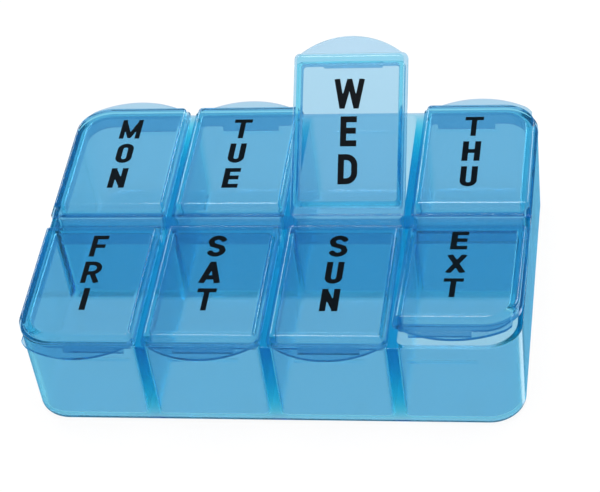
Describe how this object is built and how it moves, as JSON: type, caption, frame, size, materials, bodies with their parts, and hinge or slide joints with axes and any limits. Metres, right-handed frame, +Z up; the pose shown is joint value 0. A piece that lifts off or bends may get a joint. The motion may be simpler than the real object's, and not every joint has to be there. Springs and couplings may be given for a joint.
{
  "type": "weekly pill organizer",
  "caption": "Flat rectangular pill box with rounded corners, two rows of compartments and a flip lid with a thin finger tab over each, hinged along a central strip.",
  "frame": {"origin": "under the middle of the tray, on the surface it stands on", "axes": "+X along the rows to the right, +Y from the front row to the back row, +Z up through the lids"},
  "size_m": [0.1082, 0.0854, 0.0491],
  "materials": {
    "tray": "clear blue tinted, glossy",
    "lids": "clear blue tinted, glossy"
  },
  "bodies": {
    "base": {"tray": "tray", "hinge_strip": "lids", "fold_mon": "lids", "fold_tue": "lids", "fold_wed": "lids", "fold_thu": "lids", "fold_fri": "lids", "fold_sat": "lids", "fold_sun": "lids", "fold_ext": "lids"},
    "lid_mon_body": {"lid_mon": "lids"},
    "lid_tue_body": {"lid_tue": "lids"},
    "lid_wed_body": {"lid_wed": "lids"},
    "lid_thu_body": {"lid_thu": "lids"},
    "lid_fri_body": {"lid_fri": "lids"},
    "lid_sat_body": {"lid_sat": "lids"},
    "lid_sun_body": {"lid_sun": "lids"},
    "lid_ext_body": {"lid_ext": "lids"}
  },
  "joints": [
    {"name": "hinge_mon", "type": "hinge", "parent": "base", "child": "lid_mon_body", "pos_m": [-0.04043, 0.0019, 0.0244], "axis": [1, 0, 0], "range_deg": [0, 88]},
    {"name": "hinge_tue", "type": "hinge", "parent": "base", "child": "lid_tue_body", "pos_m": [-0.01348, 0.0019, 0.0244], "axis": [1, 0, 0], "range_deg": [0, 88]},
    {"name": "hinge_wed", "type": "hinge", "parent": "base", "child": "lid_wed_body", "pos_m": [0.01348, 0.0019, 0.0244], "axis": [1, 0, 0], "range_deg": [-37.7, 50.3]},
    {"name": "hinge_thu", "type": "hinge", "parent": "base", "child": "lid_thu_body", "pos_m": [0.04043, 0.0019, 0.0244], "axis": [1, 0, 0], "range_deg": [0, 88]},
    {"name": "hinge_fri", "type": "hinge", "parent": "base", "child": "lid_fri_body", "pos_m": [-0.04043, -0.0019, 0.0244], "axis": [-1, 0, 0], "range_deg": [0, 88]},
    {"name": "hinge_sat", "type": "hinge", "parent": "base", "child": "lid_sat_body", "pos_m": [-0.01348, -0.0019, 0.0244], "axis": [-1, 0, 0], "range_deg": [0, 88]},
    {"name": "hinge_sun", "type": "hinge", "parent": "base", "child": "lid_sun_body", "pos_m": [0.01348, -0.0019, 0.0244], "axis": [-1, 0, 0], "range_deg": [0, 88]},
    {"name": "hinge_ext", "type": "hinge", "parent": "base", "child": "lid_ext_body", "pos_m": [0.04043, -0.0019, 0.0244], "axis": [-1, 0, 0], "range_deg": [-8.5, 79.5]}
  ]
}
